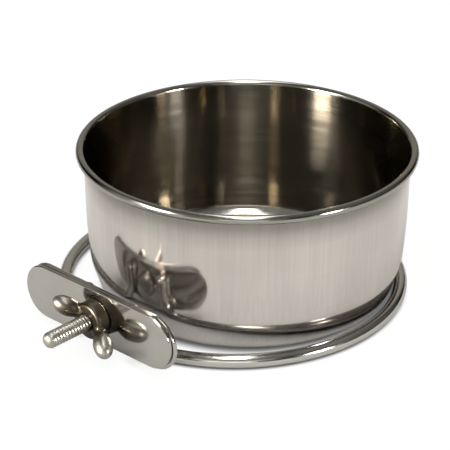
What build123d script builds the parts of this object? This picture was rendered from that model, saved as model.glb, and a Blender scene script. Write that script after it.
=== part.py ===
from build123d import *
import os
from math import acos, atan2, cos, hypot, pi, radians, sin, sqrt, tan

# Bird-cage seed cup: a deep-drawn stainless cup standing in a round wire
# holder, with a screw clamp (two obround plates, a bolt and a wing nut) on
# the side of the holder.  Millimetres.  Origin: centre of the cup's flat base,
# on the surface it stands on.  +Z up, the clamp points to -Y.

# ---------------------------------------------------------------- dimensions
# cup: flat base, a small foot radius, a short cone, a large shoulder radius and
# a slightly barrelled wall that flares again under the rolled rim
rim_od = 102.0            # over the rolled rim
cup_height = 46.2         # base to top of rim
sheet = 0.6               # drawn sheet thickness
bead_r = 1.275            # outer radius of the rolled rim
curl_end_deg = -116.0     # where the rolled edge stops, under the rim
foot_r = 5.5              # outside radius next to the base
foot_slope_deg = 18.0     # opening of the cone above it
shoulder_r = 18.3         # outside radius between cone and wall
shoulder_z = 14.164       # height of that radius's centre
barrel_r = 213.0          # radius of the barrelled wall
waist_z = 31.0            # height where the wall stands upright
waist_r = 48.56           # outside radius there
flare_deg = 4.031         # opening of the wall under the rim

# wire holder, lying flat on the surface, pushed aside by the cup; both ends
# of the wire run straight to the clamp and turn up behind its fixed plate
wire_r = 2.03
ring_r = 51.5             # centre line of the wire
holder_x = -2.44          # ring centre relative to the cup's centre
holder_y = -3.38
upright_at = 9.0          # upturned ends, left and right of the bolt
upright_top = 16.2        # height of the cut ends
upright_bend = 8.0        # centre-line radius of the upward bend
wire_to_plate = 0.03      # gap that the weld beads bridge

# clamp plates
clamp_x = -1.665          # bolt axis
clamp_z = 11.02
rear_y = -58.315          # rear face of the fixed plate
plate_len = 59.5
plate_h = 16.5
plate_t = 1.3
plate_edge = 0.4          # rounding of the pressed edges
plate_gap = 0.08          # light gap between the two closed plates
front_hole_d = 6.2
front_shift_x = -0.6      # the loose plate hangs a little off centre
front_shift_z = 0.08
front_turn_deg = 1.42     # and a little turned on the bolt

# bolt, 3/16 in size
bolt_d = 4.76
bolt_hole_d = 4.80
bolt_len = 21.8           # under the head
bolt_tip_round = 1.9
head_d = 8.6
head_h = 2.0

# wing nut with two thick rounded ears
nut_gap = 0.05            # between nut and front plate
nut_bore_d = 4.86
hub_base_r = 5.7
hub_top_r = 5.5
hub_h = 3.9
hub_round = 1.1
ear_at = (9.2, 7.75)      # radius of each ear's middle: the bore is a little off centre
ear_up = 5.3              # its height above the nut's base
ear_half_len = 4.0
ear_half_thick = 2.7
ear_half_deep = 2.7
ear_rise_deg = 28.0       # the ears rise outwards, away from the plate
neck_r = 1.6
nut_turn_deg = -25.3      # ears as they stand, seen from the bolt's end

# weld beads
weld_r = 1.3
weld_from, weld_to = 10.4, 15.6
tack_r = 1.0

# ---------------------------------------------------------------- derived
ring_z = wire_r
mid_y = rear_y - plate_t                                  # front face, back plate
front_in_y = mid_y - plate_gap
front_out_y = front_in_y - plate_t
nut_y = front_out_y - nut_gap
tip_y = rear_y - bolt_len
upright_y = rear_y + wire_r + wire_to_plate

os.makedirs("parts", exist_ok=True)


def save(shape, node):
    export_step(shape, "parts/%s.step" % node)


# ---------------------------------------------------------------- cup
rim_c = (rim_od / 2 - bead_r, cup_height - bead_r)         # rim circle centre
slope = radians(foot_slope_deg)
join = (waist_z - shoulder_z) / (barrel_r - shoulder_r)
join_a = atan2(join, sqrt(1 - join * join))                # wall slope at the shoulder
barrel_c = (waist_r - barrel_r, waist_z)
shoulder_c = (barrel_c[0] + (barrel_r - shoulder_r) * cos(join_a), shoulder_z)
z_join = shoulder_z - shoulder_r * join
cone_top = (shoulder_c[0] + shoulder_r * cos(slope), shoulder_z - shoulder_r * sin(slope))
z_foot = foot_r * (1 - sin(slope))                         # end of the foot arc
foot_c = (cone_top[0] - (cone_top[1] - z_foot) * tan(slope) - foot_r * cos(slope), foot_r)
flare_a = radians(flare_deg)
flare_r = (rim_c[1] + (bead_r - sheet) * sin(flare_a) - waist_z) / sin(flare_a)
flare_c = (waist_r + flare_r, waist_z)


def at(centre, r, ang):
    return (centre[0] + r * cos(ang), centre[1] + r * sin(ang))


def three(centre, r, a0, a1):
    ThreePointArc(at(centre, r, a0), at(centre, r, (a0 + a1) / 2), at(centre, r, a1))


down = radians(-90)
turn_in = radians(180)
curl_a = radians(curl_end_deg)
curl_0 = turn_in - flare_a
rim_end_out = at(rim_c, bead_r, curl_a)
rim_end_in = at(rim_c, bead_r - sheet, curl_a)
flare_top_out = at(flare_c, flare_r, curl_0)
flare_top_in = at(flare_c, flare_r + sheet, curl_0)
with BuildSketch(Plane.XZ) as cup_profile:
    with BuildLine():
        Line((0, 0), (foot_c[0], 0))
        three(foot_c, foot_r, down, -slope)
        Line(at(foot_c, foot_r, -slope), at(shoulder_c, shoulder_r, -slope))
        three(shoulder_c, shoulder_r, -slope, -join_a)
        three(barrel_c, barrel_r, -join_a, 0.0)
        three(flare_c, flare_r, turn_in, curl_0)
        ThreePointArc(flare_top_out, at(rim_c, bead_r - sheet, (curl_0 + curl_a) / 2), rim_end_in)
        Line(rim_end_in, rim_end_out)
        ThreePointArc(rim_end_out, at(rim_c, bead_r, (curl_0 + curl_a) / 2), flare_top_in)
        three(flare_c, flare_r + sheet, curl_0, turn_in)
        three(barrel_c, barrel_r - sheet, 0.0, -join_a)
        three(shoulder_c, shoulder_r - sheet, -join_a, -slope)
        Line(at(shoulder_c, shoulder_r - sheet, -slope), at(foot_c, foot_r - sheet, -slope))
        three(foot_c, foot_r - sheet, -slope, down)
        Line((foot_c[0], sheet), (0, sheet))
        Line((0, sheet), (0, 0))
    make_face()
cup = revolve(cup_profile.sketch, Axis.Z, 360)
save(cup, "cup")

# ---------------------------------------------------------------- holder ring
# one wire: cut end, upright, bend, straight run, ring, and the same again


def run_to(x):
    """Tangent point on the ring, in plan, of the straight run to an upright at x."""
    bx, by = x - holder_x, upright_y - holder_y
    swing = acos(ring_r / hypot(bx, by))
    ang = atan2(by, bx) + (swing if x > holder_x else -swing)
    return ang


def upright_points(x):
    """Top, bend start, bend middle, bend end and tangent point of one end of the wire."""
    ang = run_to(x)
    tx, ty = holder_x + ring_r * cos(ang), holder_y + ring_r * sin(ang)
    ux, uy = tx - x, ty - upright_y
    n = hypot(ux, uy)
    ux, uy = ux / n, uy / n
    k = upright_bend * (1 - sqrt(0.5))
    return (ang, [Vector(x, upright_y, upright_top),
                  Vector(x, upright_y, ring_z + upright_bend),
                  Vector(x + k * ux, upright_y + k * uy, ring_z + k),
                  Vector(x + upright_bend * ux, upright_y + upright_bend * uy, ring_z),
                  Vector(tx, ty, ring_z)])


ang_r, pr = upright_points(clamp_x + upright_at)
ang_l, pl = upright_points(clamp_x - upright_at)
far = (ang_r + ang_l) / 2 + radians(180)
far_pt = Vector(holder_x + ring_r * cos(far), holder_y + ring_r * sin(far), ring_z)
with BuildPart() as ring_part:
    with BuildLine() as wire_line:
        Line(pr[0], pr[1])
        ThreePointArc(pr[1], pr[2], pr[3])
        Line(pr[3], pr[4])
        ThreePointArc(pr[4], far_pt, pl[4])
        Line(pl[4], pl[3])
        ThreePointArc(pl[3], pl[2], pl[1])
        Line(pl[1], pl[0])
    with BuildSketch(Plane(origin=pr[0], z_dir=(0, 0, -1))):
        Circle(wire_r)
    sweep(path=wire_line.wires()[0])
ring = ring_part.part
save(ring, "holder_ring")
wire_length = wire_line.wires()[0].length

# ---------------------------------------------------------------- clamp plates
# plates are drawn in the XZ plane and grow towards -Y, away from the cup


def plate(hole_d):
    face = Plane(origin=(0, 0, 0), x_dir=(1, 0, 0), z_dir=(0, -1, 0))
    with BuildPart() as p:
        with BuildSketch(face):
            SlotOverall(plate_len, plate_h)
        extrude(amount=plate_t)
        fillet(p.edges(), plate_edge)
        with BuildSketch(face):
            Circle(hole_d / 2)
        extrude(amount=plate_t, mode=Mode.SUBTRACT)
    return p.part


back = Pos(clamp_x, rear_y, clamp_z) * plate(bolt_hole_d)
save(back, "back_plate")

front = Pos(clamp_x + front_shift_x, front_in_y, clamp_z + front_shift_z) * (
    Rot(0, -front_turn_deg, 0) * plate(front_hole_d))
save(front, "front_plate")

# ---------------------------------------------------------------- bolt
# drawn as a half section about its own axis, head behind the back plate
with BuildSketch(Plane.XY) as bolt_profile:
    with BuildLine():
        Line((0, -head_h), (head_d / 2 - 2.2, -head_h))
        ThreePointArc((head_d / 2 - 2.2, -head_h), (head_d / 2 - 0.55, -head_h * 0.66),
                      (head_d / 2, -0.25))
        Line((head_d / 2, -0.25), (head_d / 2, 0))
        Line((head_d / 2, 0), (bolt_d / 2, 0))
        Line((bolt_d / 2, 0), (bolt_d / 2, bolt_len - bolt_tip_round))
        ThreePointArc((bolt_d / 2, bolt_len - bolt_tip_round),
                      (bolt_d / 2 - bolt_tip_round * (1 - sqrt(0.5)),
                       bolt_len - bolt_tip_round * (1 - sqrt(0.5))),
                      (bolt_d / 2 - bolt_tip_round, bolt_len))
        Line((bolt_d / 2 - bolt_tip_round, bolt_len), (0, bolt_len))
        Line((0, bolt_len), (0, -head_h))
    make_face()
bolt = revolve(bolt_profile.sketch, Axis.Y, 360)
bolt = Pos(clamp_x, rear_y, clamp_z) * (Rot(0, 0, 180) * bolt)
save(bolt, "clamp_bolt")

# ---------------------------------------------------------------- weld beads
# a bead along each side of both upturned wire ends, and two tacks at the head
beads = []
plate_block = Pos(clamp_x, rear_y - 5, clamp_z) * Box(80, 10, 60)
for end in (-1, 1):
    for side in (-1, 1):
        length = weld_to - weld_from - 2 * weld_r
        core = Cylinder(weld_r, length)
        for tip in (-1, 1):
            core = core + Pos(0, 0, tip * length / 2) * Sphere(weld_r)
        core = Pos(clamp_x + end * upright_at + side * 1.62, rear_y + 0.7,
                   (weld_from + weld_to) / 2) * core
        core = core - ring - plate_block
        beads.append(core.solids().sort_by(SortBy.VOLUME)[-1])
head_block = Pos(clamp_x, rear_y, clamp_z) * (
    Rot(90, 0, 0) * Cylinder(head_d / 2, 2 * head_h + 2))
for side in (-1, 1):
    tack = Pos(clamp_x + side * (head_d / 2 + 0.25), rear_y, clamp_z) * Sphere(tack_r)
    tack = tack - plate_block - head_block
    beads.append(tack.solids().sort_by(SortBy.VOLUME)[-1])
save(Compound(children=beads), "weld_beads")

# ---------------------------------------------------------------- wing nut
# built with the bolt axis along +Z and the ears along X
with BuildPart() as hub:
    with BuildSketch(Plane.XZ):
        with BuildLine():
            Polyline((0, 0), (hub_base_r, 0), (hub_base_r, 0.5),
                     (hub_top_r, hub_h), (0, hub_h), (0, 0))
        make_face()
    revolve(axis=Axis.Z)
    fillet(hub.edges().filter_by(GeomType.CIRCLE).sort_by(Axis.Z)[-1], hub_round)
nut_solid = hub.part
ear = Rot(0, -ear_rise_deg, 0) * scale(Sphere(1.0), by=(ear_half_len, ear_half_thick, ear_half_deep))
for half, reach_out in zip((0, 180), ear_at):
    neck_root = Vector(2.4, 0, 2.0)
    neck_end = Vector(reach_out - 0.9, 0, ear_up - 0.6)
    neck_dir = neck_end - neck_root
    neck = Plane(origin=neck_root, z_dir=neck_dir) * Cylinder(
        neck_r, neck_dir.length, align=(Align.CENTER, Align.CENTER, Align.MIN))
    wing = Pos(reach_out, 0, ear_up) * ear + neck
    nut_solid = nut_solid + Rot(0, 0, half) * wing
nut_solid = nut_solid - Cylinder(nut_bore_d / 2, 60)
# axis to -Y, ears along X, then turned about the bolt
nut_shape = Rot(90, 0, 0) * nut_solid
nut_shape = Rot(0, -nut_turn_deg, 0) * nut_shape
nut_shape = Pos(clamp_x, nut_y, clamp_z) * nut_shape
save(nut_shape, "wing_nut")

print("bolt axis z %.3f, rear face y %.3f, front face y %.3f, nut base y %.3f, tip y %.3f"
      % (clamp_z, rear_y, front_out_y, nut_y, tip_y))
print("cup: base radius %.3f, foot ends z %.3f, shoulder ends z %.3f, wall outside at rim %.3f %.3f"
      % (foot_c[0], z_foot, z_join, flare_top_out[0], flare_top_out[1]))
print("wire length %.2f, volume %.1f against section times length %.1f"
      % (wire_length, ring.volume, pi * wire_r ** 2 * wire_length))
reach = sqrt(holder_x ** 2 + holder_y ** 2)
print("ring to cup gap %.3f" % (hypot(ring_r - reach - foot_c[0], foot_c[1] - ring_z)
                                - foot_r - wire_r))
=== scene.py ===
import math
import bpy
import numpy as np
from mathutils import Matrix, Vector


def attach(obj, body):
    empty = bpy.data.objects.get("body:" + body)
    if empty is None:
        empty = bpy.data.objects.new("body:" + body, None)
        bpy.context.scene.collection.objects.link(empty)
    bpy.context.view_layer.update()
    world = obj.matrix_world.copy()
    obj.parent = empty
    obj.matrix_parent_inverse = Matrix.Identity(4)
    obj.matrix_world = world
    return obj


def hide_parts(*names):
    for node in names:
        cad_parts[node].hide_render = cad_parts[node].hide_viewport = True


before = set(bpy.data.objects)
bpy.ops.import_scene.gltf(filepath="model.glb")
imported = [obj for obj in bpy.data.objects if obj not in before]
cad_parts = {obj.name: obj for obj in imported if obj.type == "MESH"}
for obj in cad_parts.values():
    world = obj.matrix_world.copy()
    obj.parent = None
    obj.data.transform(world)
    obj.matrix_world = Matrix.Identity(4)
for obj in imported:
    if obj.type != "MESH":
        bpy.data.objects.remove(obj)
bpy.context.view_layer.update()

MM = 0.001

# ------------------------------------------------------------------ dimensions (mm)
RIM_R, CUP_H, SHEET, BEAD_R, CURL_END = 51.0, 46.2, 0.6, 1.275, -116.0
FOOT_R, FOOT_SLOPE, SHOULDER_R, SHOULDER_Z = 5.5, math.radians(18.0), 18.3, 14.164
BARREL_R, WAIST_Z, WAIST_R, FLARE = 213.0, 31.0, 48.56, math.radians(4.031)
WIRE_R, RING_R, HX, HY = 2.03, 51.5, -2.44, -3.38
UP_AT, UP_TOP, UP_BEND = 9.0, 16.2, 8.0
BX, BZ, REAR_Y = -1.665, 11.02, -58.315
PL_LEN, PL_H, PL_T, PL_EDGE = 59.5, 16.5, 1.3, 0.46
MID_Y = REAR_Y - PL_T
FRONT_IN_Y = MID_Y - 0.08
FRONT_OUT_Y = FRONT_IN_Y - PL_T
NUT_Y = FRONT_OUT_Y - 0.05
UP_Y = REAR_Y + WIRE_R + 0.03
BOLT_R, BOLT_LEN, BOLT_TIP, PITCH = 2.38, 21.8, 1.9, 25.4 / 24
HEAD_R, HEAD_H = 4.3, 2.0
HUB_H = 3.9


# ------------------------------------------------------------------ mesh helpers
def new_object(name, verts, faces, material, body, nodes, sharp=None, zones=None):
    """A mesh piece from millimetre points, smooth shaded, riding on a body in place of CAD nodes."""
    me = bpy.data.meshes.new(name)
    me.from_pydata([tuple(float(c) * MM for c in v) for v in verts], [], [tuple(int(i) for i in f) for f in faces])
    me.validate()
    me.update()
    me.polygons.foreach_set("use_smooth", [True] * len(me.polygons))
    if sharp is not None:
        me.set_sharp_from_angle(angle=math.radians(sharp))
    ob = bpy.data.objects.new(name, me)
    bpy.context.scene.collection.objects.link(ob)
    for one in (material if isinstance(material, list) else [material]):
        me.materials.append(one)
    if zones is not None:
        me.polygons.foreach_set("material_index", zones)
    if nodes:
        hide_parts(*nodes)
    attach(ob, body)
    return ob


def grid_faces(nu, nv, wrap_u, wrap_v, flip=False):
    """Quads over a grid of nu rows and nv columns."""
    out = []
    for i in range(nu if wrap_u else nu - 1):
        for j in range(nv if wrap_v else nv - 1):
            a, b = i * nv + j, i * nv + (j + 1) % nv
            c, d = ((i + 1) % nu) * nv + (j + 1) % nv, ((i + 1) % nu) * nv + j
            out.append((a, d, c, b) if flip else (a, b, c, d))
    return out


def lathe(profile, n, place):
    """Turns a profile of (radius, height) from pole to pole; place maps (x, y, height) to the object's frame."""
    verts, rows = [], []
    for r, h in profile:
        if r < 1e-9:
            rows.append([len(verts)])
            verts.append(place(0.0, 0.0, h))
        else:
            rows.append(list(range(len(verts), len(verts) + n)))
            for j in range(n):
                t = 2 * math.pi * j / n
                verts.append(place(r * math.cos(t), r * math.sin(t), h))
    faces = []
    for a, b in zip(rows, rows[1:]):
        for j in range(n):
            k = (j + 1) % n
            if len(a) == 1:
                faces.append((a[0], b[k], b[j]))
            elif len(b) == 1:
                faces.append((a[j], a[k], b[0]))
            else:
                faces.append((a[j], a[k], b[k], b[j]))
    return verts, faces


def arc(cx, cy, r, a0, a1, n):
    """n points after the first one of an arc, angles in degrees."""
    return [(cx + r * math.cos(math.radians(a0 + (a1 - a0) * k / n)),
             cy + r * math.sin(math.radians(a0 + (a1 - a0) * k / n))) for k in range(1, n + 1)]


def line(p, q, n):
    return [(p[0] + (q[0] - p[0]) * k / n, p[1] + (q[1] - p[1]) * k / n) for k in range(1, n + 1)]


def surface_net(f, lo, hi, h, steps=5):
    """Quads on the zero level of f over a box, then moved onto it along the gradient."""
    lo, hi = np.array(lo, float), np.array(hi, float)
    n = np.ceil((hi - lo) / h).astype(int) + 1
    ax = [lo[k] + h * np.arange(n[k]) for k in range(3)]
    X, Y, Z = np.meshgrid(*ax, indexing="ij")
    V = f(np.stack([X, Y, Z], -1).reshape(-1, 3)).reshape(n)
    inside = V < 0
    cells = tuple(n - 1)
    total = np.zeros(cells + (3,))
    count = np.zeros(cells)
    corner = lambda d: tuple(slice(d[k], d[k] + n[k] - 1) for k in range(3))
    for axis in range(3):
        for b in (0, 1):
            for c in (0, 1):
                d0 = [0, 0, 0]
                others = [k for k in range(3) if k != axis]
                d0[others[0]], d0[others[1]] = b, c
                d1 = list(d0)
                d1[axis] = 1
                va, vb = V[corner(d0)], V[corner(d1)]
                hit = (va < 0) != (vb < 0)
                t = np.where(hit, va / np.where(hit, va - vb, 1.0), 0.0)
                p = np.zeros(cells + (3,))
                for k in range(3):
                    p[..., k] = d0[k]
                p[..., axis] = t
                total += p * hit[..., None]
                count += hit
    used = count > 0
    index = -np.ones(cells, int)
    index[used] = np.arange(used.sum())
    base = np.stack(np.nonzero(used), -1)
    pts = lo + h * (base + total[used] / count[used][:, None])
    quads = []
    for axis in range(3):
        u, w = [(1, 2), (2, 0), (0, 1)][axis]
        sl0, sl1 = [slice(None)] * 3, [slice(None)] * 3
        sl0[axis], sl1[axis] = slice(0, n[axis] - 1), slice(1, n[axis])
        cross = inside[tuple(sl0)] != inside[tuple(sl1)]
        at = np.stack(np.nonzero(cross), -1)
        at = at[(at[:, u] > 0) & (at[:, w] > 0) & (at[:, u] < n[u] - 1) & (at[:, w] < n[w] - 1)]
        sign = inside[tuple(sl0)][tuple(at.T)]
        def cell(du, dw):
            q = at.copy()
            q[:, u] -= du
            q[:, w] -= dw
            return index[tuple(q.T)]
        ring = np.stack([cell(1, 1), cell(0, 1), cell(0, 0), cell(1, 0)], -1)
        ring[~sign] = ring[~sign][:, ::-1]
        quads.append(ring)
    e = 1e-3
    for _ in range(steps):
        v = f(pts)
        g = np.stack([(f(pts + e * np.eye(3)[k]) - f(pts - e * np.eye(3)[k])) / (2 * e) for k in range(3)], -1)
        move = v[:, None] * g / np.maximum((g ** 2).sum(1), 0.05)[:, None]
        pts = pts - np.clip(move, -0.4 * h, 0.4 * h)
    return pts, np.concatenate(quads)


def smooth_min(a, b, k):
    h = np.clip(0.5 + 0.5 * (b - a) / k, 0, 1)
    return b + (a - b) * h - k * h * (1 - h)


# ------------------------------------------------------------------ material helpers
def shader(name, base, rough, metallic=1.0):
    m = bpy.data.materials.new(name)
    m.use_nodes = True
    nt = m.node_tree
    nt.nodes.clear()
    out = nt.nodes.new("ShaderNodeOutputMaterial")
    bsdf = nt.nodes.new("ShaderNodeBsdfPrincipled")
    nt.links.new(bsdf.outputs[0], out.inputs[0])
    bsdf.inputs["Base Color"].default_value = (*base, 1)
    bsdf.inputs["Roughness"].default_value = rough
    bsdf.inputs["Metallic"].default_value = metallic
    return m, nt, bsdf


def node(nt, kind, **inputs):
    n = nt.nodes.new(kind)
    for k, v in inputs.items():
        n.inputs[k.replace("_", " ")].default_value = v
    return n


def coords(nt, scale):
    tc = nt.nodes.new("ShaderNodeTexCoord")
    mp = nt.nodes.new("ShaderNodeMapping")
    mp.inputs["Scale"].default_value = scale
    nt.links.new(tc.outputs["Object"], mp.inputs["Vector"])
    return mp.outputs["Vector"]


def noise(nt, scale, detail=3.0, rough=0.5):
    n = node(nt, "ShaderNodeTexNoise", Scale=1.0, Detail=detail, Roughness=rough)
    nt.links.new(coords(nt, scale), n.inputs["Vector"])
    return n.outputs["Fac"]


def ramp(nt, fac, stops):
    r = nt.nodes.new("ShaderNodeValToRGB")
    el = r.color_ramp.elements
    while len(el) < len(stops):
        el.new(0.5)
    for e, (p, c) in zip(el, stops):
        e.position = p
        e.color = (*c, 1)
    nt.links.new(fac, r.inputs["Fac"])
    return r.outputs["Color"]


def spread(nt, fac, lo, hi, flo=0.3, fhi=0.7):
    r = nt.nodes.new("ShaderNodeMapRange")
    r.inputs["From Min"].default_value, r.inputs["From Max"].default_value = flo, fhi
    r.inputs["To Min"].default_value, r.inputs["To Max"].default_value = lo, hi
    nt.links.new(fac, r.inputs["Value"])
    return r.outputs["Result"]


def math_node(nt, op, a, b=None):
    n = nt.nodes.new("ShaderNodeMath")
    n.operation = op
    for k, v in enumerate((a, b)):
        if v is None:
            continue
        if isinstance(v, (int, float)):
            n.inputs[k].default_value = v
        else:
            nt.links.new(v, n.inputs[k])
    return n.outputs[0]


def multiply(nt, a, b):
    n = nt.nodes.new("ShaderNodeMix")
    n.data_type = "RGBA"
    n.blend_type = "MULTIPLY"
    n.inputs["Factor"].default_value = 1.0
    nt.links.new(a, n.inputs[6])
    nt.links.new(b, n.inputs[7])
    return n.outputs[2]


def bump(nt, bsdf, height, strength, distance, before=None):
    b = nt.nodes.new("ShaderNodeBump")
    b.inputs["Strength"].default_value = strength
    b.inputs["Distance"].default_value = distance
    nt.links.new(height, b.inputs["Height"])
    if before is not None:
        nt.links.new(before, b.inputs["Normal"])
    nt.links.new(b.outputs["Normal"], bsdf.inputs["Normal"])
    return b.outputs["Normal"]


# ------------------------------------------------------------------ materials
def cup_outside():
    """Drawn stainless, polished upright: fine upright lines, slow tint drift and faint handling haze, plus painted
    shade that darkens the wall just under the rim and slightly towards the bottom.
    """
    m, nt, b = shader("cup_outside_steel", (0.54, 0.50, 0.455), 0.09)
    fine = noise(nt, (1500, 1500, 9), 2.0, 0.6)
    broad = noise(nt, (160, 160, 2), 2.0, 0.5)
    grain = noise(nt, (120, 120, 2600), 2.0, 0.6)
    haze = noise(nt, (40, 40, 55), 4.0, 0.55)
    tint = ramp(nt, haze, [(0.3, (0.665, 0.623, 0.590)), (0.7, (0.725, 0.683, 0.650))])
    lines = ramp(nt, fine, [(0.30, (0.90, 0.90, 0.90)), (0.70, (1.0, 1.0, 1.0))])
    bands = ramp(nt, broad, [(0.30, (0.90, 0.905, 0.91)), (0.70, (1.0, 1.0, 1.0))])
    cross = ramp(nt, grain, [(0.30, (0.97, 0.97, 0.97)), (0.70, (1.0, 1.0, 1.0))])
    tc = nt.nodes.new("ShaderNodeTexCoord")
    sep = nt.nodes.new("ShaderNodeSeparateXYZ")
    nt.links.new(tc.outputs["Object"], sep.inputs[0])
    level = spread(nt, sep.outputs["Z"], 0.0, 1.0, 0.010, 0.045)
    # painted shade: the wall's colour darkens steeply just under the rim and slightly towards the bottom
    painted_wall_shade = ramp(nt, level, [(0.0, (0.93, 0.93, 0.93)), (0.45, (1.0, 1.0, 1.0)), (0.70, (0.97, 0.97, 0.97)), (0.82, (0.75, 0.755, 0.745)), (0.90, (0.49, 0.495, 0.48)), (1.0, (0.34, 0.345, 0.33))])
    body = multiply(nt, multiply(nt, multiply(nt, tint, lines), bands), cross)
    nt.links.new(multiply(nt, body, painted_wall_shade), b.inputs["Base Color"])
    r = math_node(nt, "ADD", spread(nt, fine, 0.07, 0.105), spread(nt, haze, 0.0, 0.025))
    nt.links.new(r, b.inputs["Roughness"])
    b.inputs["Anisotropic"].default_value = 0.40
    b.inputs["Anisotropic Rotation"].default_value = 0.25
    bump(nt, b, fine, 0.015, 0.0001)
    return m


def cup_rim():
    """Burnished roll of the rim, its steel set darker than the wall's as painted shade."""
    m, nt, b = shader("cup_rim_steel", (0.45, 0.435, 0.415), 0.10)
    haze = noise(nt, (70, 70, 200), 4.0, 0.6)
    marks = noise(nt, (300, 300, 1800), 2.0, 0.6)
    # painted shade: the rim's base colour is about half the wall's
    nt.links.new(ramp(nt, haze, [(0.3, (0.31, 0.305, 0.28)), (0.7, (0.36, 0.355, 0.33))]), b.inputs["Base Color"])
    nt.links.new(math_node(nt, "ADD", spread(nt, haze, 0.10, 0.14), spread(nt, marks, 0.0, 0.03)), b.inputs["Roughness"])
    bump(nt, b, marks, 0.02, 0.0001)
    return m


def cup_inside():
    """Inside wall, polished round and round: fine level grain that smears reflections up and down; its steel is set
    darker and browner than the outside as painted shade.
    """
    m, nt, b = shader("cup_inside_steel", (0.42, 0.40, 0.36), 0.22)
    grain = noise(nt, (45, 45, 1100), 3.0, 0.65)
    band = noise(nt, (14, 14, 420), 2.0, 0.5)
    haze = noise(nt, (45, 45, 60), 4.0, 0.55)
    # painted shade: a darker, browner copy of the cup's steel, and a low specular tint darkens it further
    tint = ramp(nt, haze, [(0.3, (0.33, 0.303, 0.250)), (0.7, (0.37, 0.342, 0.288))])
    lines = ramp(nt, grain, [(0.30, (0.78, 0.78, 0.78)), (0.70, (1.0, 1.0, 1.0))])
    rows = ramp(nt, band, [(0.30, (0.88, 0.88, 0.88)), (0.70, (1.0, 1.0, 1.0))])
    nt.links.new(multiply(nt, multiply(nt, tint, lines), rows), b.inputs["Base Color"])
    nt.links.new(math_node(nt, "ADD", spread(nt, grain, 0.125, 0.155), spread(nt, haze, 0.0, 0.02)), b.inputs["Roughness"])
    b.inputs["Anisotropic"].default_value = 1.0
    b.inputs["Specular Tint"].default_value = (0.25, 0.235, 0.20, 1)
    b.inputs["Anisotropic Rotation"].default_value = 0.25
    bump(nt, b, grain, 0.02, 0.0001)
    return m


def cup_floor():
    """Inside corner and floor: bright buffed, with faint round marks."""
    m, nt, b = shader("cup_floor_steel", (0.46, 0.44, 0.405), 0.09)
    haze = noise(nt, (60, 60, 60), 4.0, 0.55)
    marks = noise(nt, (300, 300, 900), 3.0, 0.6)
    tint = ramp(nt, haze, [(0.3, (0.535, 0.515, 0.48)), (0.7, (0.585, 0.565, 0.53))])
    fine = ramp(nt, marks, [(0.30, (0.95, 0.95, 0.95)), (0.70, (1.0, 1.0, 1.0))])
    nt.links.new(multiply(nt, tint, fine), b.inputs["Base Color"])
    nt.links.new(math_node(nt, "ADD", spread(nt, haze, 0.10, 0.14), spread(nt, marks, 0.0, 0.04)), b.inputs["Roughness"])
    bump(nt, b, marks, 0.02, 0.0001)
    return m


def wire_steel():
    """Bright drawn wire with very fine draw marks."""
    m, nt, b = shader("ring_polished_wire", (0.66, 0.645, 0.61), 0.08)
    haze = noise(nt, (90, 90, 300), 4.0, 0.6)
    marks = noise(nt, (420, 420, 2600), 2.0, 0.6)
    nt.links.new(ramp(nt, haze, [(0.3, (0.54, 0.53, 0.505)), (0.7, (0.595, 0.585, 0.56))]), b.inputs["Base Color"])
    nt.links.new(math_node(nt, "ADD", spread(nt, haze, 0.11, 0.15), spread(nt, marks, 0.0, 0.04)), b.inputs["Roughness"])
    bump(nt, b, marks, 0.03, 0.0001)
    return m


def plate_steel():
    """Buffed plate: slow buffing waves, faint lengthwise lines and small handling marks."""
    m, nt, b = shader("plate_buffed_steel", (0.62, 0.605, 0.57), 0.10)
    lines = noise(nt, (160, 160, 2400), 2.0, 0.6)
    haze = noise(nt, (120, 120, 120), 4.0, 0.55)
    waves = noise(nt, (42, 42, 60), 1.0, 0.4)
    tint = ramp(nt, haze, [(0.3, (0.44, 0.428, 0.405)), (0.7, (0.49, 0.478, 0.455))])
    streak = ramp(nt, lines, [(0.3, (0.95, 0.95, 0.95)), (0.7, (1.0, 1.0, 1.0))])
    nt.links.new(multiply(nt, tint, streak), b.inputs["Base Color"])
    nt.links.new(math_node(nt, "ADD", spread(nt, haze, 0.05, 0.10), spread(nt, lines, 0.0, 0.05)), b.inputs["Roughness"])
    n1 = bump(nt, b, waves, 0.12, 0.001)
    bump(nt, b, lines, 0.02, 0.0001, n1)
    return m


def bolt_steel():
    """Rolled thread: lighter, smoother crests; darker, rougher towards the roots."""
    m, nt, b = shader("bolt_rolled_steel", (0.55, 0.53, 0.49), 0.25)
    tc = nt.nodes.new("ShaderNodeTexCoord")
    sep = nt.nodes.new("ShaderNodeSeparateXYZ")
    nt.links.new(tc.outputs["Object"], sep.inputs[0])
    dx = math_node(nt, "SUBTRACT", sep.outputs["X"], BX * MM)
    dz = math_node(nt, "SUBTRACT", sep.outputs["Z"], BZ * MM)
    r = math_node(nt, "SQRT", math_node(nt, "ADD", math_node(nt, "MULTIPLY", dx, dx), math_node(nt, "MULTIPLY", dz, dz)))
    crest = spread(nt, r, 0.0, 1.0, (BOLT_R - 0.10) * MM, BOLT_R * MM)
    grain = noise(nt, (900, 900, 900), 4.0, 0.6)
    colour = ramp(nt, crest, [(0.0, (0.36, 0.348, 0.322)), (0.55, (0.40, 0.388, 0.36)), (1.0, (0.44, 0.427, 0.398))])
    speck = ramp(nt, grain, [(0.3, (0.95, 0.945, 0.94)), (0.7, (1.0, 1.0, 1.0))])
    nt.links.new(multiply(nt, colour, speck), b.inputs["Base Color"])
    nt.links.new(math_node(nt, "ADD", spread(nt, crest, 0.36, 0.32, 0.0, 1.0), spread(nt, grain, 0.0, 0.02)), b.inputs["Roughness"])
    bump(nt, b, grain, 0.01, 0.0001)
    return m


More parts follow.
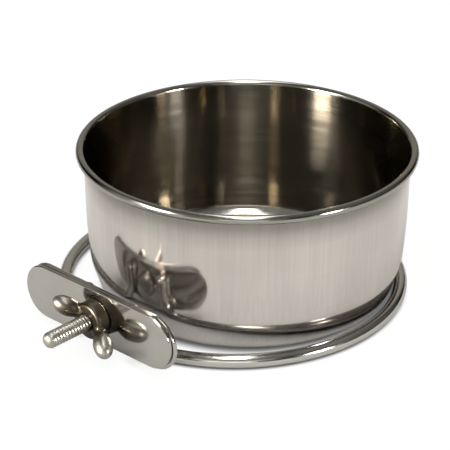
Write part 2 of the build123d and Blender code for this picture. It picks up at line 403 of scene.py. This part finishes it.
def nut_nickel():
    """Nickel plate over a forging: soft orange-peel and patchy tone, with painted shade that makes the metal near black
    round the hub and lighter out on the ears.
    """
    m, nt, b = shader("nut_nickel_plate", (0.60, 0.575, 0.52), 0.10)
    peel = noise(nt, (420, 420, 420), 2.0, 0.5)
    haze = noise(nt, (150, 150, 150), 4.0, 0.6)
    tc = nt.nodes.new("ShaderNodeTexCoord")
    sep = nt.nodes.new("ShaderNodeSeparateXYZ")
    nt.links.new(tc.outputs["Object"], sep.inputs[0])
    dx = math_node(nt, "SUBTRACT", sep.outputs["X"], BX * MM)
    dz = math_node(nt, "SUBTRACT", sep.outputs["Z"], BZ * MM)
    r = math_node(nt, "SQRT", math_node(nt, "ADD", math_node(nt, "MULTIPLY", dx, dx), math_node(nt, "MULTIPLY", dz, dz)))
    # painted shade: near black round the bolt, rising to the metal's tone on the ears
    painted_hub_shade = ramp(nt, spread(nt, r, 0.0, 1.0, 0.004, 0.010), [(0.0, (0.055, 0.048, 0.036)), (0.35, (0.085, 0.076, 0.058)), (0.75, (0.25, 0.240, 0.218)), (1.0, (0.33, 0.318, 0.295))])
    film = ramp(nt, haze, [(0.3, (0.80, 0.79, 0.76)), (0.7, (1.0, 1.0, 1.0))])
    nt.links.new(multiply(nt, painted_hub_shade, film), b.inputs["Base Color"])
    nt.links.new(math_node(nt, "ADD", spread(nt, haze, 0.31, 0.36), spread(nt, peel, 0.0, 0.03)), b.inputs["Roughness"])
    bump(nt, b, peel, 0.05, 0.0003)
    return m


def weld_steel():
    """Dull weld metal with straw and blue heat tint."""
    m, nt, b = shader("weld_metal", (0.45, 0.42, 0.38), 0.40)
    tint = noise(nt, (500, 500, 500), 3.0, 0.5)
    grain = noise(nt, (2500, 2500, 2500), 4.0, 0.6)
    nt.links.new(ramp(nt, tint, [(0.30, (0.30, 0.30, 0.34)), (0.48, (0.46, 0.43, 0.38)), (0.60, (0.52, 0.44, 0.32)), (0.75, (0.50, 0.48, 0.45))]), b.inputs["Base Color"])
    nt.links.new(spread(nt, grain, 0.28, 0.50), b.inputs["Roughness"])
    bump(nt, b, grain, 0.25, 0.0001)
    return m


CUP_OUT_MAT, CUP_RIM_MAT, CUP_IN_MAT, CUP_FLOOR_MAT = cup_outside(), cup_rim(), cup_inside(), cup_floor()
WIRE_MAT, PLATE_MAT = wire_steel(), plate_steel()
BOLT_MAT, NUT_MAT, WELD_MAT = bolt_steel(), nut_nickel(), weld_steel()


# ------------------------------------------------------------------ cup
def build_cup():
    """Flat base, small foot radius, cone, shoulder, barrelled wall, flare and rolled rim, then the same inside."""
    cx, cz = RIM_R - BEAD_R, CUP_H - BEAD_R
    r_in = BEAD_R - SHEET
    co, si = math.cos(FOOT_SLOPE), math.sin(FOOT_SLOPE)
    ga = math.asin((WAIST_Z - SHOULDER_Z) / (BARREL_R - SHOULDER_R))
    bc = (WAIST_R - BARREL_R, WAIST_Z)
    sc = (bc[0] + (BARREL_R - SHOULDER_R) * math.cos(ga), SHOULDER_Z)
    cone = (sc[0] + SHOULDER_R * co, sc[1] - SHOULDER_R * si)
    fc = (cone[0] - (cone[1] - FOOT_R * (1 - si)) * si / co - FOOT_R * co, FOOT_R)
    flare_r = (cz + r_in * math.sin(FLARE) - WAIST_Z) / math.sin(FLARE)
    wc = (WAIST_R + flare_r, WAIST_Z)
    d, gd, fd = math.degrees(FOOT_SLOPE), math.degrees(ga), math.degrees(FLARE)
    p, zone = [(0.0, 0.0)], []

    def add(points, kind):
        p.extend(points)
        zone.extend([kind] * len(points))

    add(line((0, 0), (fc[0] - 0.6, 0), 8) + [(fc[0], 0.0)], 0)
    add(arc(*fc, FOOT_R, -90, -d, 24), 0)
    add(line(p[-1], cone, 12), 0)
    add(arc(*sc, SHOULDER_R, -d, -gd, 24), 0)
    add(arc(*bc, BARREL_R, -gd, 0, 24), 0)
    add(arc(*wc, flare_r, 180, 180 - fd, 20), 0)
    add(arc(cx, cz, r_in, 180 - fd, CURL_END, 28), 1)
    end = (cx + BEAD_R * math.cos(math.radians(CURL_END)), cz + BEAD_R * math.sin(math.radians(CURL_END)))
    add(line(p[-1], end, 2), 1)
    add(arc(cx, cz, BEAD_R, CURL_END, 180 - fd, 64), 1)
    add(arc(*wc, flare_r + SHEET, 180 - fd, 180, 20), 2)
    add(arc(*bc, BARREL_R - SHEET, 0, -gd, 24), 2)
    add(arc(*sc, SHOULDER_R - SHEET, -gd, -d, 28), 2)
    add(line(p[-1], (fc[0] + (FOOT_R - SHEET) * co, FOOT_R - (FOOT_R - SHEET) * si), 12), 2)
    add(arc(*fc, FOOT_R - SHEET, -d, -90, 28), 3)
    add(line((fc[0], SHEET), (fc[0] - 0.6, SHEET), 1) + line((fc[0] - 0.6, SHEET), (0, SHEET), 8), 3)
    p[-1] = (0.0, SHEET)
    n = 384
    v, f = lathe(p, n, lambda x, y, h: (x, y, h))
    zones = [k for k in zone for _ in range(n)]
    return new_object("cup_shell", v, f, [CUP_OUT_MAT, CUP_RIM_MAT, CUP_IN_MAT, CUP_FLOOR_MAT], "cup", ["cup"], sharp=50, zones=zones)


# ------------------------------------------------------------------ wire ring
def wire_path():
    """Centre line of the holder's wire, from one cut end over the ring to the other."""
    def half(x, side):
        bx, by = x - HX, UP_Y - HY
        ang = math.atan2(by, bx) + side * math.acos(RING_R / math.hypot(bx, by))
        t = np.array([HX + RING_R * math.cos(ang), HY + RING_R * math.sin(ang), WIRE_R])
        u = t - np.array([x, UP_Y, WIRE_R])
        u /= np.linalg.norm(u)
        pts = [np.array([x, UP_Y, UP_TOP + (WIRE_R + UP_BEND - UP_TOP) * k / 8]) for k in range(8)]
        for k in range(25):
            q = math.pi / 2 * k / 24
            pts.append(np.array([x, UP_Y, WIRE_R + UP_BEND]) + UP_BEND * ((1 - math.cos(q)) * u - math.sin(q) * np.array([0, 0, 1.0])))
        last = pts[-1]
        pts += [last + (t - last) * k / 10 for k in range(1, 10)]
        return ang, pts

    a0, right = half(BX + UP_AT, 1)
    a1, left = half(BX - UP_AT, -1)
    turn = (a1 - a0) % (2 * math.pi)
    circle = [np.array([HX + RING_R * math.cos(a0 + turn * k / 340), HY + RING_R * math.sin(a0 + turn * k / 340), WIRE_R]) for k in range(341)]
    return np.array(right + circle + left[::-1])


def build_ring():
    path, m = wire_path(), 40
    tan = np.gradient(path, axis=0)
    tan[0], tan[-1] = (0, 0, -1), (0, 0, 1)
    tan /= np.linalg.norm(tan, axis=1)[:, None]
    nrm = np.array([1.0, 0, 0])
    rings = []
    for k, t in enumerate(tan):
        nrm = nrm - (nrm @ t) * t
        nrm /= np.linalg.norm(nrm)
        rings.append((path[k], nrm.copy(), np.cross(t, nrm)))
    rows = [(rings[0], 0.0, WIRE_R - 0.34), (rings[0], 0.07, WIRE_R - 0.13), (rings[0], 0.26, WIRE_R - 0.02)]
    rows += [(r, 0.0, WIRE_R) for r in rings[1:-1]]
    rows += [(rings[-1], -0.26, WIRE_R - 0.02), (rings[-1], -0.07, WIRE_R - 0.13), (rings[-1], 0.0, WIRE_R - 0.34)]
    ends = (tan[0], tan[-1])
    v = []
    for i, ((c, n1, n2), shift, r) in enumerate(rows):
        c = c + shift * ends[0 if i < len(rows) / 2 else 1]
        for j in range(m):
            s = 2 * math.pi * j / m
            v.append(c + r * (math.cos(s) * n1 + math.sin(s) * n2))
    f = grid_faces(len(rows), m, False, True, True)
    for row, centre in ((0, path[0]), (len(rows) - 1, path[-1])):
        v.append(centre)
        for j in range(m):
            a, b = row * m + j, row * m + (j + 1) % m
            f.append((len(v) - 1, b, a) if row else (len(v) - 1, a, b))
    return new_object("ring_wire", v, f, WIRE_MAT, "holder", ["holder_ring"], sharp=50)


# ------------------------------------------------------------------ clamp plates
def obround(length, height, inset, n_arc=40, n_line=44):
    """Points of a slot outline, counter-clockwise, moved inwards by inset."""
    r, a = height / 2 - inset, (length - height) / 2
    pts = []
    for k in range(n_arc):
        t = -math.pi / 2 + math.pi * k / n_arc
        pts.append((a + r * math.cos(t), r * math.sin(t)))
    for k in range(n_line):
        pts.append((a - 2 * a * k / n_line, r))
    for k in range(n_arc):
        t = math.pi / 2 + math.pi * k / n_arc
        pts.append((-a + r * math.cos(t), r * math.sin(t)))
    for k in range(n_line):
        pts.append((-a + 2 * a * k / n_line, -r))
    return pts


def build_plate(name, y0, hole_r, shift, lift, turn, body, cad):
    """A pressed plate with rounded edges and a round hole; the section runs once round the sheet."""
    e, t = PL_EDGE, PL_T
    section = [(e + 0.5, 0.0), (e + 0.02, 0.0)]
    section += [(e - e * math.sin(k * math.pi / 16), e - e * math.cos(k * math.pi / 16)) for k in range(0, 9)]
    section += [(0.0, t / 2)]
    section += [(e - e * math.cos(k * math.pi / 16), t - e + e * math.sin(k * math.pi / 16)) for k in range(0, 9)]
    section += [(e + 0.02, t), (e + 0.5, t)]
    c, s = math.cos(math.radians(turn)), math.sin(math.radians(turn))
    outer = obround(PL_LEN, PL_H, 0.0)
    n = len(outer)
    rows = [[(p[0], p[1], dep) for p in obround(PL_LEN, PL_H, inset)] for inset, dep in section]
    ang = [math.atan2(p[1], p[0]) for p in outer]
    hole = [(0.22, t), (0.06, t - 0.06), (0.0, t - 0.22), (0.0, 0.22), (0.06, 0.06), (0.22, 0.0)]
    rows += [[((hole_r + g) * math.cos(q), (hole_r + g) * math.sin(q), dep) for q in ang] for g, dep in hole]
    v = []
    for row in rows:
        for x, z, dep in row:
            v.append((BX + shift + x * c - z * s, y0 - dep, BZ + lift + x * s + z * c))
    return new_object(name, v, grid_faces(len(rows), n, True, True, False), PLATE_MAT, body, [cad], sharp=60)


# ------------------------------------------------------------------ bolt
def build_bolt():
    n = 72
    rows = []
    head = [(-HEAD_H, 0.0)]
    head += [(-HEAD_H, 0.6), (-HEAD_H + 0.01, 1.4)]
    head += [(-HEAD_H + 0.05, 2.1)]
    head += [(-2.0 + 0.05 + (1.70) * (1 - math.cos(k * math.pi / 24)), 2.1 + 2.15 * math.sin(k * math.pi / 24)) for k in range(1, 13)]
    head += [(-0.12, HEAD_R), (-0.03, HEAD_R - 0.02), (0.0, HEAD_R - 0.10), (0.0, BOLT_R + 0.12), (0.03, BOLT_R + 0.03), (0.12, BOLT_R - 0.02)]
    for s, r in head:
        rows.append((s, r, 0.0))
    start, step = 1.7, PITCH / 14
    s = 0.5
    while s < start:
        rows.append((s, BOLT_R - 0.02, 0.0))
        s += 0.4
    flat = BOLT_LEN - BOLT_TIP
    s = start
    while s < BOLT_LEN - 0.02:
        env = BOLT_R if s < flat else BOLT_R - BOLT_TIP + math.sqrt(max(BOLT_TIP ** 2 - (s - flat) ** 2, 0.0))
        fade = min(1.0, (s - start) / 0.8) * min(1.0, max(0.0, (BOLT_LEN - 0.35 - s) / 0.9))
        rows.append((s, env, 0.10 * fade))
        s += step if s < flat else step * 0.6
    rows.append((BOLT_LEN, BOLT_R - BOLT_TIP, 0.0))
    rows.append((BOLT_LEN, 0.5, 0.0))
    rows.append((BOLT_LEN, 0.0, 0.0))

    def cut(phase):
        """Depth share of the worn thread groove: round crest, round root."""
        return 0.5 + 0.5 * math.cos(2 * math.pi * phase)

    verts, idx = [], []
    for s, r, depth in rows:
        if r < 1e-9:
            idx.append([len(verts)])
            verts.append((BX, REAR_Y - s, BZ))
            continue
        idx.append(list(range(len(verts), len(verts) + n)))
        for j in range(n):
            t = 2 * math.pi * j / n
            full = BOLT_R - depth * cut((s / PITCH - t / (2 * math.pi)) % 1.0)
            q = min(r, full) if depth > 0 else r
            verts.append((BX + q * math.cos(t), REAR_Y - s, BZ + q * math.sin(t)))
    faces = []
    for a, b in zip(idx, idx[1:]):
        for j in range(n):
            k = (j + 1) % n
            if len(a) == 1:
                faces.append((a[0], b[k], b[j]))
            elif len(b) == 1:
                faces.append((a[j], a[k], b[0]))
            else:
                faces.append((a[j], a[k], b[k], b[j]))
    return new_object("bolt_thread", verts, faces, BOLT_MAT, "holder", ["clamp_bolt"], sharp=60)


# ------------------------------------------------------------------ wing nut
EAR_AT, EAR_UP, EAR_RISE, NUT_TURN = (9.2, 7.75), 5.3, math.radians(28.0), math.radians(-25.3)
EAR_HALF = np.array([4.0, 2.7, 2.7])


def build_nut():
    """Forged nut: a low round hub with two thick leaning ears that grow out of it."""
    cl, sn = math.cos(EAR_RISE), math.sin(EAR_RISE)

    def half(p):
        side = np.where(p[:, :1] < 0, -1.0, 1.0)
        return np.concatenate([p[:, :2] * side, p[:, 2:]], 1), np.where(p[:, 0] < 0, EAR_AT[1], EAR_AT[0])

    def ear(p):
        q, out = half(p)
        x, z = q[:, 0] - out, q[:, 2] - EAR_UP
        q = np.stack([x * cl + z * sn, q[:, 1], -x * sn + z * cl], -1)
        k0 = np.linalg.norm(q / EAR_HALF, axis=1)
        k1 = np.maximum(np.linalg.norm(q / EAR_HALF ** 2, axis=1), 1e-6)
        return k0 * (k0 - 1) / k1

    def neck(p):
        q, out = half(p)
        root = np.array([2.6, 0.0, 2.0])
        ba = np.stack([out - 1.2 - root[0], 0 * out, 0 * out + EAR_UP - 0.8 - root[2]], -1)
        along = np.clip(((q - root) * ba).sum(1) / (ba * ba).sum(1), 0, 1)
        return np.linalg.norm(q - root - along[:, None] * ba, axis=1) - (1.60 + 0.45 * along)

    def hub(p):
        r = np.hypot(p[:, 0], p[:, 1])
        s = p[:, 2]
        side = r - (5.7 - 0.2 * np.clip(s / HUB_H, 0, 1))
        rim = np.where(s > HUB_H / 2, 1.1, 0.3)
        q = np.stack([side + rim, np.maximum(s - HUB_H, -s) + rim], -1)
        return np.minimum(q.max(1), 0) + np.hypot(*np.maximum(q, 0).T) - rim

    def f(p):
        d = smooth_min(smooth_min(neck(p), ear(p), 1.5), hub(p), 1.0)
        d = np.maximum(d, -p[:, 2])
        r = np.hypot(p[:, 0], p[:, 1])
        bore = r - (2.44 + 0.35 * np.clip((p[:, 2] - HUB_H + 0.45) / 0.45, 0, 1))
        return np.maximum(d, -bore)

    pts, quads = surface_net(f, (-13.6, -7.2, -0.4), (13.6, 7.2, 9.2), 0.18)
    t = NUT_TURN
    er, et = np.array([math.cos(t), 0, math.sin(t)]), np.array([-math.sin(t), 0, math.cos(t)])
    out = np.array([BX, NUT_Y, BZ]) + pts[:, :1] * er + pts[:, 1:2] * et + pts[:, 2:] * np.array([0, -1.0, 0])
    return new_object("nut_forging", out, quads, NUT_MAT, "nut", ["wing_nut"], sharp=55)


# ------------------------------------------------------------------ weld beads
def build_welds():
    """Rippled beads along both sides of each upturned wire end, and two tacks at the bolt's head."""
    allv, allq, off = [], [], 0

    def add(f, lo, hi, h):
        nonlocal off
        v, q = surface_net(f, lo, hi, h)
        allv.append(v)
        allq.append(q + off)
        off += len(v)

    for end in (-1, 1):
        xw = BX + end * UP_AT
        for side in (-1, 1):
            x0 = xw + side * 1.62
            drops = [(10.95 + 0.68 * k, 1.16 + 0.12 * math.sin(2.1 * k + 1.7 * end + side)) for k in range(7)]

            def bead(p, drops=drops, x0=x0, xw=xw):
                d = None
                for z, r in drops:
                    s = np.sqrt((p[:, 0] - x0) ** 2 + (p[:, 1] - REAR_Y - 0.7) ** 2 + (p[:, 2] - z) ** 2) - r
                    d = s if d is None else smooth_min(d, s, 0.14)
                d = np.maximum(d, -(np.hypot(p[:, 0] - xw, p[:, 1] - UP_Y) - WIRE_R + 0.05))
                return np.maximum(d, REAR_Y - 0.03 - p[:, 1])

            add(bead, (x0 - 1.9, REAR_Y - 0.4, 9.2), (x0 + 1.9, REAR_Y + 2.6, 16.8), 0.13)
        tx = BX + end * (HEAD_R + 0.25)

        def tack(p, tx=tx):
            d = np.sqrt((p[:, 0] - tx) ** 2 + (p[:, 1] - REAR_Y) ** 2 + (p[:, 2] - BZ) ** 2) - 0.98
            d = np.maximum(d, REAR_Y - 0.03 - p[:, 1])
            return np.maximum(d, HEAD_R - 0.05 - np.hypot(p[:, 0] - BX, p[:, 2] - BZ))

        add(tack, (tx - 1.4, REAR_Y - 0.4, BZ - 1.4), (tx + 1.4, REAR_Y + 1.4, BZ + 1.4), 0.12)
    return new_object("weld_metal_beads", np.concatenate(allv), np.concatenate(allq), WELD_MAT, "holder", ["weld_beads"], sharp=60)


build_cup()
build_ring()
build_plate("plate_fixed", REAR_Y, 2.40, 0.0, 0.0, 0.0, "holder", "back_plate")
build_plate("plate_loose", FRONT_IN_Y, 3.1, -0.6, 0.08, 1.42, "jaw", "front_plate")
build_bolt()
build_nut()
build_welds()

# ------------------------------------------------------------------ camera
SCENE = bpy.context.scene
TURN = math.radians(43.125)            # the photograph's view, turned into the part's frame
ELEV, ROLL = math.radians(26.747), math.radians(0.109)
DIST, TX, TZ, FOCAL = 0.49579, -0.006565, 0.01847, 1625.08
SPIN = Matrix.Rotation(TURN, 3, "Z")


def seen(x, y, z):
    """A point given in the camera's own level frame (x to the right, y away from the camera) in the part's frame."""
    return SPIN @ Vector((x, y, z))


fwd = Vector((0, math.cos(ELEV), -math.sin(ELEV)))
right0 = Vector((1, 0, 0))
up0 = right0.cross(fwd)
right = math.cos(ROLL) * right0 + math.sin(ROLL) * up0
up = -math.sin(ROLL) * right0 + math.cos(ROLL) * up0
pos = SPIN @ (Vector((TX, 0, TZ)) - DIST * fwd)
right, up, back = SPIN @ right, SPIN @ up, SPIN @ (-fwd)
cam_data = bpy.data.cameras.new("camera")
cam_data.sensor_fit = "HORIZONTAL"
cam_data.sensor_width = 36.0
cam_data.lens = FOCAL / 450 * 36.0
cam_data.clip_start, cam_data.clip_end = 0.01, 20.0
cam = bpy.data.objects.new("camera", cam_data)
cam.matrix_world = Matrix(((right.x, up.x, back.x, pos.x), (right.y, up.y, back.y, pos.y), (right.z, up.z, back.z, pos.z), (0, 0, 0, 1)))
SCENE.collection.objects.link(cam)
SCENE.camera = cam

# ------------------------------------------------------------------ stage: floor, world, lights
def stage_plane(name, z, half):
    me = bpy.data.meshes.new(name)
    me.from_pydata([(-half, -half, z), (half, -half, z), (half, half, z), (-half, half, z)], [], [(0, 1, 2, 3)])
    ob = bpy.data.objects.new(name, me)
    SCENE.collection.objects.link(ob)
    return ob, me


# the white ground of a cut-out product picture, and the lit table that the metal mirrors
floor, floor_me = stage_plane("floor", -0.00005, 3.0)
fm, fnt, fb = shader("floor_white", (0.10, 0.10, 0.10), 0.9, 0.0)
fb.inputs["Specular IOR Level"].default_value = 0.0
fb.inputs["Emission Color"].default_value = (1.0, 1.0, 0.995, 1)
fb.inputs["Emission Strength"].default_value = 0.93
# painted contact shade: the floor's glow drops where ambient occlusion finds the object close
ao = fnt.nodes.new("ShaderNodeAmbientOcclusion")
ao.samples = 16
ao.inputs["Distance"].default_value = 0.005
fnt.links.new(spread(fnt, ao.outputs["AO"], 0.12, 0.94, 0.18, 0.58), fb.inputs["Emission Strength"])
floor_me.materials.append(fm)
floor.visible_glossy = floor.visible_diffuse = floor.visible_shadow = False
table, table_me = stage_plane("table", -0.00006, 3.0)
tm, tnt, tb = shader("table_paper", (0.90, 0.89, 0.87), 0.9, 0.0)
tb.inputs["Specular IOR Level"].default_value = 0.0
table_me.materials.append(tm)
table.visible_camera = False

world = bpy.data.worlds.new("studio")
SCENE.world = world
world.use_nodes = True
wn = world.node_tree
bg = wn.nodes["Background"]
wtc = wn.nodes.new("ShaderNodeTexCoord")


def lobe(direction, inner, outer, colour):
    """A soft bright patch of the room round a direction."""
    d = seen(*direction).normalized()
    dot = wn.nodes.new("ShaderNodeVectorMath")
    dot.operation = "DOT_PRODUCT"
    dot.inputs[1].default_value = d
    wn.links.new(wtc.outputs["Generated"], dot.inputs[0])
    r = wn.nodes.new("ShaderNodeMapRange")
    r.interpolation_type = "SMOOTHSTEP"
    r.inputs["From Min"].default_value, r.inputs["From Max"].default_value = math.cos(math.radians(outer)), math.cos(math.radians(inner))
    wn.links.new(dot.outputs["Value"], r.inputs["Value"])
    c = wn.nodes.new("ShaderNodeVectorMath")
    c.operation = "SCALE"
    c.inputs[0].default_value = colour
    wn.links.new(r.outputs["Result"], c.inputs["Scale"])
    return c.outputs["Vector"]


def added(a, b):
    n = wn.nodes.new("ShaderNodeVectorMath")
    n.operation = "ADD"
    for k, x in enumerate((a, b)):
        if isinstance(x, tuple):
            n.inputs[k].default_value = x
        else:
            wn.links.new(x, n.inputs[k])
    return n.outputs["Vector"]


room = added((0.008, 0.007, 0.005), lobe((0, 1, 0.5), 12, 46, (0.38, 0.360, 0.318)))
room = added(room, lobe((-0.17, -1, 0.45), 10, 40, (0.22, 0.204, 0.163)))
room = added(room, lobe((0, -0.1, 1), 25, 65, (0.17, 0.17, 0.166)))
room = added(room, lobe((1, 0.1, 0.6), 8, 42, (0.11, 0.105, 0.095)))
room = added(room, lobe((-1, -0.18, 0.52), 8, 36, (0.42, 0.405, 0.37)))
wn.links.new(room, bg.inputs["Color"])
bg.inputs["Strength"].default_value = 1.0


def area(name, at, aim, size_x, size_y, watts, colour, glossy=True, diffuse=True):
    """A lamp panel that faces aim; places are in the camera's level frame."""
    li = bpy.data.lights.new(name, "AREA")
    li.shape = "RECTANGLE"
    li.size, li.size_y = size_x, size_y
    li.energy = watts
    li.color = colour
    ob = bpy.data.objects.new(name, li)
    SCENE.collection.objects.link(ob)
    ob.visible_glossy, ob.visible_diffuse = glossy, diffuse
    at, aim = seen(*at), seen(*aim)
    z = (at - aim).normalized()
    x = seen(1, 0, 0) if abs(z.z) > 0.5 else Vector((0, 0, 1)).cross(z).normalized()
    y = z.cross(x).normalized()
    x = y.cross(z)
    ob.matrix_world = Matrix(((x.x, y.x, z.x, at.x), (x.y, y.y, z.y, at.y), (x.z, y.z, z.z, at.z), (0, 0, 0, 1)))
    return ob


def round_at(azimuth, elevation, distance):
    """A place at an azimuth to the right of the camera's side, seen from the object."""
    a, e = math.radians(azimuth), math.radians(elevation)
    return (distance * math.cos(e) * math.sin(a), -distance * math.cos(e) * math.cos(a), distance * math.sin(e))


HOME = (0.0, 0.0, 0.03)
area("top_softbox", (0.0, -0.33, 1.0), (0.0, 0.0, 0.0), 0.20, 0.66, 3.2, (1.0, 0.99, 0.97), diffuse=False)
area("rear_softbox", (0.0, 0.32, 1.0), (0.0, 0.0, 0.0), 0.20, 0.66, 2.2, (1.0, 0.99, 0.97), diffuse=False)
area("front_high_lamp", round_at(-2, 27, 1.0), HOME, 0.92, 0.10, 0.30, (1.0, 0.95, 0.86), diffuse=False)
area("left_lamp", round_at(-57, 14, 1.0), HOME, 0.20, 0.22, 36.0, (1.0, 0.90, 0.78), diffuse=False)
area("left_high_lamp", round_at(-74, 36, 1.0), HOME, 0.16, 0.18, 0.72, (1.0, 0.98, 0.94), diffuse=False)
area("right_lamp", round_at(53, 12, 1.0), HOME, 0.16, 0.16, 6.0, (1.0, 0.96, 0.91), diffuse=False)
area("front_panel", round_at(-3, 11, 0.95), HOME, 0.52, 0.24, 0.6, (1.0, 0.99, 0.97), diffuse=False)
area("table_light", (0.0, -0.55, 1.2), (0.0, -0.1, 0.0), 1.5, 1.5, 20.0, (1.0, 0.99, 0.97), glossy=False)

SCENE.view_settings.view_transform = "Standard"
SCENE.cycles.caustics_reflective = False
SCENE.cycles.glossy_bounces = 16
SCENE.cycles.max_bounces = 18
